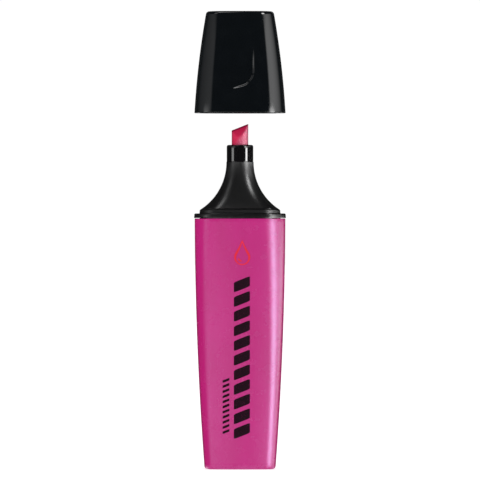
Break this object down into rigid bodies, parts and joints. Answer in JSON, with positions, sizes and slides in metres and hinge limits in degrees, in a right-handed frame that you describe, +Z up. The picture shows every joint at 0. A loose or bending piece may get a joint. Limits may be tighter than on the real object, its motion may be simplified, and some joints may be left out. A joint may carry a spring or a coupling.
{
  "type": "highlighter pen",
  "caption": "Flat wedge-bodied highlighter with a slanted chisel nib, and a pull-off cap drawn clear above the nib.",
  "frame": {"origin": "middle of the barrel's flat tail face, on which the pen stands", "axes": "+Z runs up the pen's axis from the tail to the nib and cap, X is the width with the nib's long point at +X, Y is the thickness with the printed face at -Y"},
  "size_m": [0.027, 0.017, 0.1345],
  "materials": {
    "barrel_plastic": "moulded polypropylene with a satin gloss",
    "front_plastic": "moulded, fine spark texture, with a polished sealing collar",
    "nib_fibre": "bonded fibre, wet with ink",
    "reservoir_fibre": "fibre bundle, soaked with ink",
    "reservoir_wrap": "thin translucent film",
    "cap_plastic": "moulded, high gloss",
    "seal_plastic": "moulded, soft satin"
  },
  "bodies": {
    "pen": {"barrel": "barrel_plastic", "front_section": "front_plastic", "nib": "nib_fibre", "reservoir_core": "reservoir_fibre", "reservoir_film": "reservoir_wrap"},
    "cap": {"cap_shell": "cap_plastic", "cap_inner_seal": "seal_plastic"}
  },
  "joints": [
    {"name": "cap_pull", "type": "slide", "parent": "pen", "child": "cap", "axis": [0, 0, 1], "range_m": [-0.0294, 0.0106]}
  ]
}
